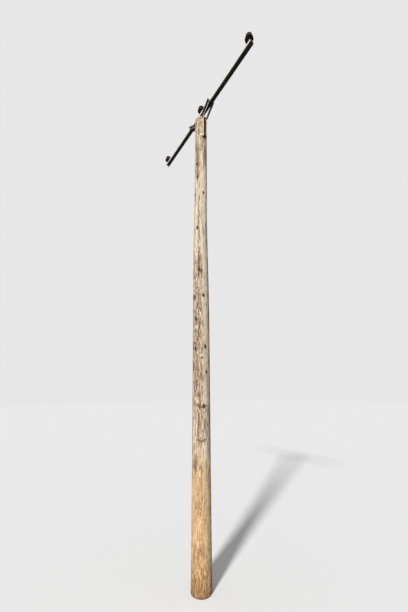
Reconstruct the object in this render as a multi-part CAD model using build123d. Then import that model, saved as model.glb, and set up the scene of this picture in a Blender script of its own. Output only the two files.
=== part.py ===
from build123d import *
from math import asin, cos, degrees, pi, radians, sin, sqrt
import os

# A wooden line pole: a round log that carries a steel channel crossarm on a fork of brackets and struts,
# with three porcelain pin insulators. Millimetres. The origin is the centre of the log at ground level,
# +Z is up, +X runs along the crossarm to its right end, and -Y is the front.

# Log
log_height = 7360.0
foot_diameter = 258.0
lower_diameter = 254.0
upper_diameter = 226.0
foot_swell_height = 900.0
narrowing_start = 3600.0
narrowing_end = 5300.0
head_length = 760.0
bow_depth = 9.0
bow_start = 3000.0
bow_heading = 236.8
log_section_spacing = 420.0
top_edge_bevel = 4.0

# Flat seats cut into both sides of the log's head
seat_depth = 8.0
seat_run_below_bracket = 25.0
seat_run_out = 30.0

# Rolled channel, one section for the crossarm and both brackets
channel_width = 75.0
channel_depth = 45.0
channel_web = 6.0
channel_flange = 7.0
channel_flange_slope = 0.08
channel_root_radius = 7.0
channel_toe_radius = 3.5

# Crossarm
arm_length = 2965.0
arm_shift_left = 17.5
arm_above_log = 103.0
insulator_from_arm_end = 50.0
middle_insulator_shift_right = 12.0

# Brackets
bracket_below_log_top = 10.0
bracket_length = 510.0

# Pressed saddle plates between brackets and log
saddle_thickness = 5.0
saddle_width = 146.0
saddle_height = 50.0
saddle_clearance = 0.3

# Angle iron struts
strut_leg = 40.0
strut_thickness = 4.0
strut_root_radius = 5.0
strut_end_margin = 25.0
strut_gauge = 22.5
strut_foot_from_bracket_top = 25.0
strut_foot_setback = 22.0
strut_head_offset = 345.0

# Fasteners: shank diameter and sizes of head, nut and washers
log_bolt_diameter = 20.0
log_bolt_from_lower_end = 40.0
log_bolt_from_upper_end = 120.0
strut_bolt_diameter = 14.0
hex_width_ratio = 1.5
head_height_ratio = 0.63
nut_height_ratio = 0.8
round_washer_ratio = 1.9
round_washer_thickness = 3.0
square_washer_width = 42.0
square_washer_thickness = 5.0
log_bolt_projection = 34.0
strut_bolt_projection = 9.0
hex_corner_bevel_ratio = 0.05
bolt_end_bevel = 1.5
hole_clearance = 1.0
thread_clearance = 0.3

# Insulator pins
pin_shank_diameter = 24.0
pin_shank_height = 130.0
pin_collar_diameter = 46.0
pin_collar_height = 9.0
pin_stud_diameter = 20.0
pin_stud_projection = 9.0
pin_head_diameter = 27.0
pin_head_height = 40.0
pin_thread_pitch = 6.0
pin_thread_depth = 1.6

# Porcelain insulators, heights measured from the skirt's rim
insulator_height = 91.0
skirt_radius = 70.0
skirt_lip_radius = 3.5
skirt_shoulder_height = 46.0
skirt_shoulder_radius = 53.0
skirt_wall = 9.0
skirt_ceiling_wall = 12.5
skirt_bell_height_ratio = 0.45
skirt_bell_radius_ratio = 0.93
neck_height = 62.0
neck_radius = 38.0
neck_groove_radius = 8.0
crown_radius = 52.0
crown_edge_radius = 8.0
crown_groove_radius = 9.5
crown_groove_depth = 11.0
inner_skirt_radius = 36.0
inner_skirt_wall = 7.0
inner_skirt_rise = 7.0
socket_clearance = 0.4
socket_mouth_height = 27.0
insulator_rim_height = 105.0


# Sizes that follow from the ones above

arm_underside_height = log_height + arm_above_log
arm_top_height = arm_underside_height + channel_depth
arm_left_end = -arm_length / 2 - arm_shift_left
right_insulator_place = arm_left_end + arm_length - insulator_from_arm_end
left_insulator_place = arm_left_end + insulator_from_arm_end
seat_offset = upper_diameter / 2 - seat_depth
web_offset = seat_offset + saddle_thickness
bracket_top_height = log_height - bracket_below_log_top
bracket_bottom_height = bracket_top_height - bracket_length
lower_bolt_height = bracket_bottom_height + log_bolt_from_lower_end
upper_bolt_height = bracket_top_height - log_bolt_from_upper_end
strut_plane = channel_width / 2
strut_foot_height = bracket_top_height - strut_foot_from_bracket_top
strut_foot_offset = web_offset + strut_foot_setback
strut_head_height = arm_underside_height + channel_depth / 2
strut_span = sqrt((strut_head_offset - strut_foot_offset) ** 2 + (strut_head_height - strut_foot_height) ** 2)
strut_slope = degrees(asin((strut_head_height - strut_foot_height) / strut_span))


def smooth_step(share):
    """Rises from 0 to 1 with level ends as share goes from 0 to 1."""
    held = min(max(share, 0.0), 1.0)
    return held * held * (3.0 - 2.0 * held)


def log_radius(height):
    """The log's radius: a slight swell at the foot, an even trunk, then a narrower head."""
    narrowing = smooth_step((height - narrowing_start) / (narrowing_end - narrowing_start))
    trunk = lower_diameter + (upper_diameter - lower_diameter) * narrowing
    swell = (foot_diameter - lower_diameter) * (1.0 - smooth_step(height / foot_swell_height))
    return (trunk + swell) / 2


def log_centre(height):
    """The log's centre line: one gentle bow between the straight lower trunk and the head."""
    half_run = (log_height - head_length - bow_start) / 2
    reach = min(max((height - bow_start) / half_run - 1.0, -1.0), 1.0)
    bow = bow_depth * cos(reach * pi / 2) ** 2
    heading = radians(bow_heading)
    return Vector(bow * cos(heading), bow * sin(heading), height)


def log_body():
    """Lofts the trunk through round sections and carries its top section straight up as the head."""
    head_base = log_height - head_length
    count = max(round(head_base / log_section_spacing), 2)
    sections = []
    for step in range(count + 1):
        height = head_base * step / count
        sections.append(Plane(log_centre(height)) * Circle(log_radius(height)))
    trunk = loft(sections)
    head = Pos(0, 0, head_base) * extrude(Circle(log_radius(head_base)), head_length)
    top_edge = head.edges().sort_by(Axis.Z)[-1]
    return trunk + chamfer(top_edge, top_edge_bevel)


def seat_cutter():
    """The wood taken off one side of the head: a flat face with a sloping run-out at its lower end."""
    low = bracket_bottom_height - seat_run_below_bracket
    high = log_height + seat_run_out
    outside = seat_offset + seat_run_out
    outline = Polyline((seat_offset, low), (seat_offset, high), (outside, high), (outside, low - seat_run_out),
                       close=True)
    side = make_face(Plane.XZ * outline)
    return extrude(side, upper_diameter / 2, both=True)


def wooden_pole():
    """The log with its two flat seats and the two bored bolt holes."""
    cutter = seat_cutter()
    pole = log_body() - cutter - mirror(cutter, Plane.YZ)
    bore = (log_bolt_diameter + hole_clearance) / 2
    for height in (lower_bolt_height, upper_bolt_height):
        pole -= Pos(0, 0, height) * Rot(0, 90, 0) * Cylinder(bore, upper_diameter * 2)
    return pole


def channel_section():
    """Rolled channel seen along its length: web back on x = 0, sloping flanges towards +x, rounded roots."""
    half = channel_width / 2
    change = channel_flange_slope * (channel_depth - channel_web) / 2
    root = half - channel_flange - change
    toe = half - channel_flange + change
    outline = Polyline((0, -half), (channel_depth, -half), (channel_depth, -toe), (channel_web, -root),
                       (channel_web, root), (channel_depth, toe), (channel_depth, half), (0, half), close=True)
    section = make_face(outline)
    roots = section.vertices().filter_by(lambda v: abs(v.X - channel_web) < 0.01)
    section = fillet(roots, channel_root_radius)
    toes = section.vertices().filter_by(lambda v: abs(v.X - channel_depth) < 0.01 and abs(abs(v.Y) - toe) < 0.01)
    return fillet(toes, channel_toe_radius)


def drill(place, direction, diameter, length):
    """A round cutter of the given diameter and length, centred on a place and pointing along a direction."""
    return Plane(origin=place, z_dir=direction) * Cylinder((diameter + hole_clearance) / 2, length)


def crossarm():
    """Channel with its web on top: pin holes through the web, strut bolt holes through both flanges."""
    # The section's +x becomes down and its y becomes the row's Y.
    start = Plane(origin=(arm_left_end, 0, arm_top_height), x_dir=(0, 0, -1), z_dir=(1, 0, 0))
    arm = extrude(start * channel_section(), arm_length)
    for place in (left_insulator_place, middle_insulator_shift_right, right_insulator_place):
        arm -= drill((place, 0, arm_top_height), (0, 0, 1), pin_stud_diameter, channel_depth / 2)
    for offset in (-strut_head_offset, strut_head_offset):
        arm -= drill((offset, 0, strut_head_height), (0, 1, 0), strut_bolt_diameter, channel_width * 2)
    return arm


def right_bracket():
    """Upright channel on the right seat, flanges outwards, with log bolt holes and a strut bolt hole."""
    start = Plane(origin=(web_offset, 0, bracket_bottom_height), x_dir=(1, 0, 0), z_dir=(0, 0, 1))
    bracket = extrude(start * channel_section(), bracket_length)
    for height in (lower_bolt_height, upper_bolt_height):
        bracket -= drill((web_offset, 0, height), (1, 0, 0), log_bolt_diameter, channel_depth)
    bracket -= drill((strut_foot_offset, 0, strut_foot_height), (0, 1, 0), strut_bolt_diameter, channel_width * 2)
    return bracket


def saddle(height):
    """Plate pressed flat over the seat, with wings that wrap the round of the log on both sides."""
    inner = upper_diameter / 2 + saddle_clearance
    outer = inner + saddle_thickness
    reach = outer * 2
    hollow = Circle(inner) & Pos(seat_offset - reach / 2, 0) * Rectangle(reach, reach)
    plate = Circle(outer) & Pos(web_offset - reach / 2, 0) * Rectangle(reach, reach)
    plate = (plate - hollow) & Pos(reach / 2, 0) * Rectangle(reach, saddle_width)
    solid = Pos(0, 0, height - saddle_height / 2) * extrude(plate, saddle_height)
    return solid - drill((web_offset, 0, height), (1, 0, 0), log_bolt_diameter, channel_depth)


def angle_section():
    """Angle iron seen along its length: one leg down from the corner, the other leg out along -x."""
    outline = Polyline((0, 0), (-strut_leg, 0), (-strut_leg, -strut_thickness),
                       (-strut_thickness, -strut_thickness), (-strut_thickness, -strut_leg), (0, -strut_leg),
                       close=True)
    section = make_face(outline)
    inner = section.vertices().filter_by(
        lambda v: abs(v.X + strut_thickness) < 0.01 and abs(v.Y + strut_thickness) < 0.01)
    section = fillet(inner, strut_root_radius)
    toes = section.vertices().filter_by(
        lambda v: abs(v.X + strut_leg) < 0.01 and abs(v.Y + strut_thickness) < 0.01
        or abs(v.X + strut_thickness) < 0.01 and abs(v.Y + strut_leg) < 0.01)
    return fillet(toes, strut_thickness / 2)


def right_front_strut():
    """Angle iron from the bracket to the crossarm: upright leg on their flanges, the other leg at the top."""
    rise = radians(strut_slope)
    along = Vector(cos(rise), 0, sin(rise))
    above = Vector(-sin(rise), 0, cos(rise))
    foot = Vector(strut_foot_offset, -strut_plane, strut_foot_height)
    # The section's y points up across the strut, and its -x points away from the crossarm.
    corner = foot - along * strut_foot_setback * 2 + above * strut_gauge
    length = strut_span + strut_foot_setback * 2 + strut_end_margin
    start = Plane(origin=corner, x_dir=(0, 1, 0), z_dir=along)
    strut = extrude(start * angle_section(), length)
    # The lower end is cut upright, in line with the back of the bracket.
    strut -= Pos(web_offset - length, 0, strut_foot_height) * Box(length * 2, channel_width * 4, length * 2)
    for place in (foot, foot + along * strut_span):
        strut -= drill(place, (0, 1, 0), strut_bolt_diameter, strut_leg * 3)
    return strut


def hex_prism(diameter, height):
    """Hexagon standing on z = 0, its corners taken off at the top by a shallow cone."""
    across = diameter * hex_width_ratio
    prism = extrude(RegularPolygon(across / 2, 6, major_radius=False), height)
    bevel = across * hex_corner_bevel_ratio
    corner_radius = across / sqrt(3)
    cone = revolve(make_face(Plane.XZ * Polyline(
        (0, 0), (corner_radius + bevel, 0), (corner_radius + bevel, height - 2 * bevel),
        (corner_radius - 2 * bevel, height), (0, height), close=True)), Axis.Z)
    return prism & cone


def bolt(diameter, grip, projection):
    """Hexagon head below z = 0, shank up through the grip, its nut and a little free thread."""
    head_height = diameter * head_height_ratio
    length = grip + diameter * nut_height_ratio + projection
    shank = extrude(Circle(diameter / 2), length)
    shank = chamfer(shank.edges().sort_by(Axis.Z)[-1], bolt_end_bevel)
    head = Rot(180, 0, 0) * hex_prism(diameter, head_height)
    return head + shank


def nut(diameter):
    """Hexagon nut standing on z = 0, bored just clear of the thread that it holds."""
    height = diameter * nut_height_ratio
    bore = diameter / 2 + thread_clearance
    return hex_prism(diameter, height) - Pos(0, 0, height / 2) * Cylinder(bore, height * 2)


def round_washer(diameter):
    """Flat round washer standing on z = 0."""
    ring = Circle(diameter * round_washer_ratio / 2) - Circle((diameter + hole_clearance) / 2)
    return extrude(ring, round_washer_thickness)


def square_washer(diameter):
    """Flat square plate washer standing on z = 0."""
    plate = Rectangle(square_washer_width, square_washer_width) - Circle((diameter + hole_clearance) / 2)
    return extrude(plate, square_washer_thickness)


def log_bolt_set(height):
    """Bolt through both brackets and the log, head on the left, nut on the right, a square washer each side."""
    face = web_offset + channel_web
    seat = face + square_washer_thickness
    frame = Plane(origin=(-seat, 0, height), z_dir=(1, 0, 0))
    back_washer = Plane(origin=(-seat, 0, height), z_dir=(1, 0, 0)) * square_washer(log_bolt_diameter)
    front_washer = Plane(origin=(face, 0, height), z_dir=(1, 0, 0)) * square_washer(log_bolt_diameter)
    through = frame * bolt(log_bolt_diameter, seat * 2, log_bolt_projection)
    holding = Plane(origin=(seat, 0, height), z_dir=(1, 0, 0)) * nut(log_bolt_diameter)
    return through, holding, Compound([back_washer, front_washer])


def strut_bolt_set(offset, height):
    """Bolt from front to back through two struts and the flanges between them, with two round washers."""
    face = strut_plane + strut_thickness
    seat = face + round_washer_thickness
    frame = Plane(origin=(offset, -seat, height), z_dir=(0, 1, 0))
    front_washer = frame * round_washer(strut_bolt_diameter)
    back_washer = Plane(origin=(offset, face, height), z_dir=(0, 1, 0)) * round_washer(strut_bolt_diameter)
    through = frame * bolt(strut_bolt_diameter, seat * 2, strut_bolt_projection)
    holding = Plane(origin=(offset, seat, height), z_dir=(0, 1, 0)) * nut(strut_bolt_diameter)
    return through, holding, Compound([front_washer, back_washer])


def insulator_pin():
    """Steel pin: collar on the crossarm, tapering shank, coarse threaded head, and a stud through the web."""
    below = channel_web + round_washer_thickness + pin_stud_diameter * nut_height_ratio + pin_stud_projection
    stud = pin_stud_diameter / 2
    shank = pin_shank_diameter / 2
    collar = pin_collar_diameter / 2
    head = pin_head_diameter / 2
    neck = head - pin_thread_depth
    tip = pin_shank_height + pin_head_height
    points = [(0, -below), (stud - bolt_end_bevel, -below), (stud, -below + bolt_end_bevel), (stud, 0),
              (collar, 0), (collar, pin_collar_height / 2), (shank, pin_collar_height * 2),
              (neck, pin_shank_height)]
    turns = int(pin_head_height / pin_thread_pitch)
    for turn in range(turns):
        base = pin_shank_height + turn * pin_thread_pitch
        points.append((head, base + pin_thread_pitch / 2))
        points.append((neck, base + pin_thread_pitch))
    points += [(neck, tip), (0, tip)]
    profile = make_face(Plane.XZ * Polyline(points, close=True))
    return revolve(profile, Axis.Z)


def insulator_outline():
    """Half of the porcelain body's outer face, from the skirt's rim up over the crown to the axis."""
    shoulder_top = neck_height - neck_groove_radius
    crown_bottom = neck_height + neck_groove_radius
    crown_side = insulator_height - crown_edge_radius
    lip = skirt_lip_radius
    rim = ThreePointArc((skirt_radius - 2 * lip, lip), (skirt_radius - lip, 0), (skirt_radius, lip))
    bell = (skirt_radius * skirt_bell_radius_ratio, skirt_shoulder_height * skirt_bell_height_ratio)
    flare = Spline((skirt_radius, lip), bell, (skirt_shoulder_radius, skirt_shoulder_height),
                   tangents=((-0.05, 1), (-1, 1.2)))
    shoulder = Line(flare @ 1, (neck_radius + neck_groove_radius, shoulder_top))
    groove = ThreePointArc(shoulder @ 1, (neck_radius, neck_height),
                           (neck_radius + neck_groove_radius, crown_bottom))
    ledge = Line(groove @ 1, (crown_radius, crown_bottom + crown_edge_radius / 2))
    side = Line(ledge @ 1, (crown_radius, crown_side))
    corner = crown_edge_radius * (1.0 - sqrt(0.5))
    edge = ThreePointArc(side @ 1, (crown_radius - corner, insulator_height - corner),
                         (crown_radius - crown_edge_radius, insulator_height))
    top = Line(edge @ 1, (0, insulator_height))
    return [rim, flare, shoulder, groove, ledge, side, edge, top]


def insulator():
    """Porcelain body: bell skirt, hidden inner skirt, side groove, crown with a groove across, pin socket."""
    outside = insulator_outline()
    start = outside[0] @ 0
    ceiling = skirt_shoulder_height - skirt_ceiling_wall
    inner_out = inner_skirt_radius
    inner_in = inner_skirt_radius - inner_skirt_wall
    socket = pin_head_diameter / 2 + socket_clearance
    socket_top = pin_shank_height + pin_head_height + socket_clearance - insulator_rim_height
    under = [
        Line((0, insulator_height), (0, socket_top)),
        Line((0, socket_top), (socket, socket_top)),
        Line((socket, socket_top), (socket, socket_mouth_height)),
        Line((socket, socket_mouth_height), (inner_in, inner_skirt_rise + inner_skirt_wall)),
        Line((inner_in, inner_skirt_rise + inner_skirt_wall), (inner_in, inner_skirt_rise)),
        Line((inner_in, inner_skirt_rise), (inner_out, inner_skirt_rise)),
        Line((inner_out, inner_skirt_rise), (inner_out, ceiling)),
        Line((inner_out, ceiling), (skirt_shoulder_radius - skirt_wall, ceiling)),
        Line((skirt_shoulder_radius - skirt_wall, ceiling), start),
    ]
    profile = make_face(Plane.XZ * Wire(outside + under))
    body = revolve(profile, Axis.Z)
    groove_centre = insulator_height + crown_groove_radius - crown_groove_depth
    groove = Pos(0, 0, groove_centre) * Rot(90, 0, 0) * Cylinder(crown_groove_radius, skirt_radius * 3)
    return body - groove


def write(node, shape):
    """Writes one sub-part under its own name."""
    export_step(shape, os.path.join("parts", node + ".step"))


def main():
    os.makedirs("parts", exist_ok=True)

    write("wooden_pole", wooden_pole())
    write("crossarm", crossarm())

    bracket = right_bracket()
    write("right_bracket", bracket)
    write("left_bracket", mirror(bracket, Plane.YZ))

    strut = right_front_strut()
    write("right_front_strut", strut)
    write("right_back_strut", mirror(strut, Plane.XZ))
    write("left_front_strut", mirror(strut, Plane.YZ))
    write("left_back_strut", mirror(mirror(strut, Plane.YZ), Plane.XZ))

    for level, height in (("upper", upper_bolt_height), ("lower", lower_bolt_height)):
        plate = saddle(height)
        write("right_" + level + "_saddle", plate)
        write("left_" + level + "_saddle", mirror(plate, Plane.YZ))
        through, holding, washers = log_bolt_set(height)
        write(level + "_pole_bolt", through)
        write(level + "_pole_bolt_nut", holding)
        write(level + "_pole_bolt_washers", washers)

    for side, sign in (("right", 1), ("left", -1)):
        for name, offset, height in (("arm", strut_head_offset, strut_head_height),
                                     ("bracket", strut_foot_offset, strut_foot_height)):
            through, holding, washers = strut_bolt_set(sign * offset, height)
            write(side + "_" + name + "_bolt", through)
            write(side + "_" + name + "_bolt_nut", holding)
            write(side + "_" + name + "_bolt_washers", washers)

    pin = insulator_pin()
    body = insulator()
    washer = round_washer(pin_stud_diameter)
    pin_nut = nut(pin_stud_diameter)
    nut_height = pin_stud_diameter * nut_height_ratio
    web_underside = arm_top_height - channel_web
    places = (("right", right_insulator_place), ("middle", middle_insulator_shift_right),
              ("left", left_insulator_place))
    for side, place in places:
        write(side + "_insulator_pin", Pos(place, 0, arm_top_height) * pin)
        write(side + "_insulator", Pos(place, 0, arm_top_height + insulator_rim_height) * body)
        write(side + "_pin_washer", Pos(place, 0, web_underside - round_washer_thickness) * washer)
        low = web_underside - round_washer_thickness - nut_height
        write(side + "_pin_nut", Pos(place, 0, low) * pin_nut)


main()
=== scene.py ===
import math

import bpy
import numpy as np
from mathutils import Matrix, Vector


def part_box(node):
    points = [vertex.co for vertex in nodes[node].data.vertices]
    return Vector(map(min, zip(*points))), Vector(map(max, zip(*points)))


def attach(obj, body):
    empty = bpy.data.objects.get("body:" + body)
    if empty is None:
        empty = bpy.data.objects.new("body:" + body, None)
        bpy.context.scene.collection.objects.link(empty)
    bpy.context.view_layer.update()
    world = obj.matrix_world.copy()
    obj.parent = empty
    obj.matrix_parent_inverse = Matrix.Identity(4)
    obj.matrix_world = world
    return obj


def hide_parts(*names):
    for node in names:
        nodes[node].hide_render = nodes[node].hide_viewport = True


# A wooden line pole: a weathered round log, a steel channel crossarm on its fork of brackets and struts,
# and three brown porcelain pin insulators. Metres. The frame's own solids give every place and size.

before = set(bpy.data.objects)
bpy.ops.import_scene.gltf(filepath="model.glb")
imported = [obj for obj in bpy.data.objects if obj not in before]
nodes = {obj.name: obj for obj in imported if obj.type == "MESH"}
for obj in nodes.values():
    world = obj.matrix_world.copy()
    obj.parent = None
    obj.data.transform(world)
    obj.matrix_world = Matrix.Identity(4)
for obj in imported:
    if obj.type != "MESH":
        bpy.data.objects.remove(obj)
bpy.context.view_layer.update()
scene = bpy.context.scene
rng = np.random.default_rng(19)

# Camera, where the photographer stood: metres, and degrees clockwise from the front
camera_distance = 4.048
camera_bearing = 56.801
camera_height = 2.238
look_bearing = 56.172
look_up = 17.497
look_roll = -0.273
lens_mm = 16.0
sensor_mm = 36.0

# Studio: a soft key lamp from the front right, an even room light, a pale floor
key_towards = (0.374, -0.622, 0.688)
key_strength = 3.35
key_softness = 6.0
room_light = 0.40
background = 0.80
floor_reach = 60.0
floor_pale = 0.72
floor_bounce = 0.12

# Log: its grid, and how far its relief lies under the round
log_rows = 520
log_columns = 126
log_recess = 0.0012
unevenness = 0.0022
ridge_depth = 0.0005
fissure_depth = 0.0018
fissure_strands = 64
fissure_length = 0.13
fine_fissure_depth = 0.0009
fine_fissure_strands = 128
fine_fissure_length = 0.055
grain_twist = math.radians(14)
rim_bevel = 0.005
cap_rings = 14
seat_run_out_slope = 1.0

# Drying checks: half width, depth
check_half_width = 0.0022
check_depth = 0.022

# Knots: grid, height over width, how proud the heart stands, splits, parted fibres and swollen collar
knot_rings = 9
knot_turns = 56
knot_slender = 1.25
knot_lift = 0.0014
knot_split_reach = 0.10
knot_split_depth = 0.0008
parting_height = 0.4
parting_length = 2.6
collar_reach = 1.9
collar_rise = 0.0012

# Steel channel: half the width inside its flanges, and its web's thickness
channel_hollow = 0.0315
channel_web = 0.0055


def smooth_step(value):
    """Rises from 0 to 1 with level ends as value goes from 0 to 1."""
    held = np.clip(value, 0.0, 1.0)
    return held * held * (3.0 - 2.0 * held)


def turned_to_pi(angle):
    """The same angle, between -pi and pi."""
    return (angle + math.pi) % (2 * math.pi) - math.pi


def add_object(name, data):
    """A new object in the scene."""
    thing = bpy.data.objects.new(name, data)
    scene.collection.objects.link(thing)
    return thing


# Mesh building

class Shape:
    """Collects closed surfaces and the marks on their points, then becomes one mesh object."""

    def __init__(self):
        self.points = []
        self.faces = []
        self.finishes = []
        self.marks = {}
        self.count = 0

    def add(self, points, faces, capped=(), **marks):
        """Adds a surface: its points, face arrays, those that take the second finish, and marks by name."""
        for finish, group in enumerate((faces, capped)):
            for some in group:
                self.faces.append(some + self.count)
                self.finishes.append(np.full(len(some), finish))
        self.points.append(points)
        for name, values in marks.items():
            self.marks.setdefault(name, []).append(values)
        self.count += len(points)

    def object(self, name, materials):
        """The finished object: mesh, marks and materials, riding with the pole."""
        points = np.concatenate(self.points)
        corners = np.concatenate([some.ravel() for some in self.faces]).astype(np.int32)
        sizes = np.concatenate([np.full(len(some), some.shape[1]) for some in self.faces])
        starts = np.concatenate(([0], np.cumsum(sizes)[:-1])).astype(np.int32)
        mesh = bpy.data.meshes.new(name)
        mesh.vertices.add(len(points))
        mesh.vertices.foreach_set("co", points.astype(np.float32).ravel())
        mesh.loops.add(len(corners))
        mesh.loops.foreach_set("vertex_index", corners)
        mesh.polygons.add(len(sizes))
        mesh.polygons.foreach_set("loop_start", starts)
        for material in materials:
            mesh.materials.append(material)
        mesh.polygons.foreach_set("material_index", np.concatenate(self.finishes).astype(np.int32))
        mesh.polygons.foreach_set("use_smooth", np.ones(len(sizes), bool))
        for mark, parts in self.marks.items():
            values = np.concatenate(parts).astype(np.float32)
            kind, field = ("FLOAT_VECTOR", "vector") if values.ndim > 1 else ("FLOAT", "value")
            mesh.attributes.new(mark, kind, "POINT").data.foreach_set(field, values.ravel())
        mesh.update(calc_edges=True)
        mesh.validate()
        thing = add_object(name, mesh)
        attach(thing, "root")
        return thing


def ring_faces(rows, columns, start=0):
    """Faces between neighbouring rows of a ring grid, whose last column joins its first."""
    row, column = np.meshgrid(np.arange(rows - 1), np.arange(columns), indexing="ij")
    after = (column + 1) % columns
    low = start + row * columns
    high = low + columns
    return np.stack((low + column, low + after, high + after, high + column), -1).reshape(-1, 4)


def fan_faces(ring_start, columns, centre, upwards):
    """Triangles that close a ring onto one centre point."""
    column = np.arange(columns)
    after = (column + 1) % columns
    first, second = (column, after) if upwards else (after, column)
    return np.stack((ring_start + first, ring_start + second, np.full(columns, centre)), -1)


def about(x, y, radius, bearing, height):
    """Points about a centre x and y: radius times cosine and sine of the bearing, and the height."""
    return np.stack((x + radius * np.cos(bearing), y + radius * np.sin(bearing), height), -1)


def closed_rings(points):
    """Points and faces of a ring grid whose two open ends are closed by a fan onto their own middle."""
    rows, columns = points.shape[:2]
    ends = np.stack((points[0].mean(0), points[-1].mean(0)))
    everything = np.concatenate((points.reshape(-1, 3), ends))
    first = rows * columns
    faces = [ring_faces(rows, columns), fan_faces(0, columns, first, False),
             fan_faces(first - columns, columns, first + 1, True)]
    return everything, faces


# Finishes

class Nodes:
    """A node tree being written. Most calls add a node or a short run and give back its output."""

    def __init__(self, tree):
        self.tree = tree

    def put(self, socket, value):
        """Links a socket to another node's output, or gives it a value: three numbers for a colour."""
        if isinstance(value, bpy.types.NodeSocket):
            self.tree.links.new(value, socket)
        else:
            socket.default_value = (*value, 1.0) if socket.type == "RGBA" else value

    def node(self, kind, inputs=(), **settings):
        """One node with its settings, and its inputs given by name or number as a link or a value."""
        made = self.tree.nodes.new(kind)
        for setting, value in settings.items():
            setattr(made, setting, value)
        for socket, value in dict(inputs).items():
            self.put(made.inputs[socket], value)
        return made

    def place(self):
        """The point's place in the pole's own frame, in metres."""
        return self.node("ShaderNodeTexCoord").outputs["Object"]

    def mark(self, name, kind="Fac"):
        """A mark stored on the mesh, as a number or, if asked for, as a vector."""
        return self.node("ShaderNodeAttribute", attribute_name=name).outputs[kind]

    def parts(self, vector):
        """The vector's X, Y and Z."""
        return self.node("ShaderNodeSeparateXYZ", {0: vector}).outputs

    def calc(self, operation, first, second=0.0, third=0.0, clamp=False):
        """One step of arithmetic."""
        return self.node("ShaderNodeMath", {0: first, 1: second, 2: third}, operation=operation,
                         use_clamp=clamp).outputs[0]

    def times(self, first, second):
        """The product of two numbers."""
        return self.calc("MULTIPLY", first, second)

    def less(self, first, second):
        """The first number less the second."""
        return self.calc("SUBTRACT", first, second)

    def plus(self, base, value, share):
        """The base with a share of the value added."""
        return self.calc("MULTIPLY_ADD", value, share, base)

    def between(self, value, low, high):
        """0 at low and 1 at high, smoothly, and held beyond them."""
        inputs = {"Value": value, "From Min": low, "From Max": high}
        return self.node("ShaderNodeMapRange", inputs, interpolation_type="SMOOTHSTEP").outputs[0]

    def noise(self, vector, scale, detail=3.0, roughness=0.55, rise=1.0):
        """Cloudy noise from 0 to 1, its blotches about 1/scale metres across and longer upwards by 1/rise."""
        if rise != 1.0:
            vector = self.node("ShaderNodeMapping", {"Vector": vector, "Scale": (1, 1, rise)}).outputs[0]
        inputs = {"Vector": vector, "Scale": scale, "Detail": detail, "Roughness": roughness}
        return self.node("ShaderNodeTexNoise", inputs).outputs[0]

    def ridge(self, value, core, edge):
        """1 where the value crosses its middle, falling to 0 at the edge: thin wandering lines."""
        return self.between(self.calc("ABSOLUTE", self.less(value, 0.5)), edge, core)

    def mix(self, share, first, second, blend="MIX"):
        """Two colours mixed by share."""
        settings = {"data_type": "RGBA", "blend_type": blend, "clamp_factor": True}
        return self.node("ShaderNodeMix", {0: share, 6: first, 7: second}, **settings).outputs[2]

    def over(self, colour, share, strength, hue, blend="MIX"):
        """The colour with a hue laid over it, by share times strength."""
        return self.mix(self.times(share, strength), colour, hue, blend)

    def ramp(self, value, *stops):
        """A colour that runs through the stops, each a position and a colour."""
        made = self.node("ShaderNodeValToRGB", {0: value})
        bar = made.color_ramp.elements
        while len(bar) < len(stops):
            bar.new(0.5)
        for element, (position, colour) in zip(bar, stops):
            element.position = position
            element.color = (*colour, 1.0)
        return made.outputs[0]

    def bump(self, height, strength, distance, over=None):
        """A surface direction tilted by the height's slope, over another one if given."""
        inputs = {"Height": height, "Strength": strength, "Distance": distance}
        if over is not None:
            inputs["Normal"] = over
        return self.node("ShaderNodeBump", inputs).outputs[0]

    def seen(self):
        """1 for what is seen, also in a mirror or through glass, and 0 for light thrown on things."""
        path = self.node("ShaderNodeLightPath").outputs
        reflected = self.calc("MAXIMUM", path["Is Glossy Ray"], path["Is Transmission Ray"])
        return self.calc("MAXIMUM", path["Is Camera Ray"], reflected)


class Finish(Nodes):
    """A material being written."""

    def __init__(self, name):
        self.material = bpy.data.materials.new(name)
        self.material.use_nodes = True
        super().__init__(self.material.node_tree)
        self.shader = next(n for n in self.tree.nodes if n.type == "BSDF_PRINCIPLED")

    def finish(self, **sockets):
        """Sets the shader's own sockets, by link or value, and gives back the material."""
        for name, value in sockets.items():
            self.put(self.shader.inputs[name.replace("_", " ")], value)
        return self.material


# Hues of the wood: its fibres from dark to sun-paled, the palest also taking the painted light on the flanks,
# casts that are multiplied in, and stains
dark_fibre = (0.34, 0.2, 0.112)
tan_fibre = (0.73, 0.503, 0.315)
pale_fibre = (0.95, 0.712, 0.48)
cream_fibre = (1.0, 0.83, 0.62)
paled_and_lit_fibre = (1.0, 0.86, 0.665)
brown_fibre = (0.2, 0.12, 0.072)
grey_cast = (0.68, 0.62, 0.58)
warm_cast = (1.0, 0.84, 0.6)
bottom_darkening = (0.78, 0.76, 0.63)
stain_brown = (0.17, 0.095, 0.052)
check_dark = (0.03, 0.02, 0.014)

# Hues inside cracks, each up the log and at its warm foot
fissure_hues = ((0.19, 0.112, 0.066), (0.4, 0.205, 0.092))
dash_hues = ((0.14, 0.074, 0.046), (0.3, 0.15, 0.065))
split_hues = ((0.08, 0.049, 0.032), (0.24, 0.12, 0.055))

# Heights where the wood changes: the darker bottom, the warm foot, the cracked middle and the calm top
darker_bottom = (0.40, 0.04)
warm_foot = (1.45, 1.10)
warm_edge = (1.92, 1.40)
cracked_middle = (4.9, 3.7)
calm_top = (3.9, 4.7)


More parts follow.
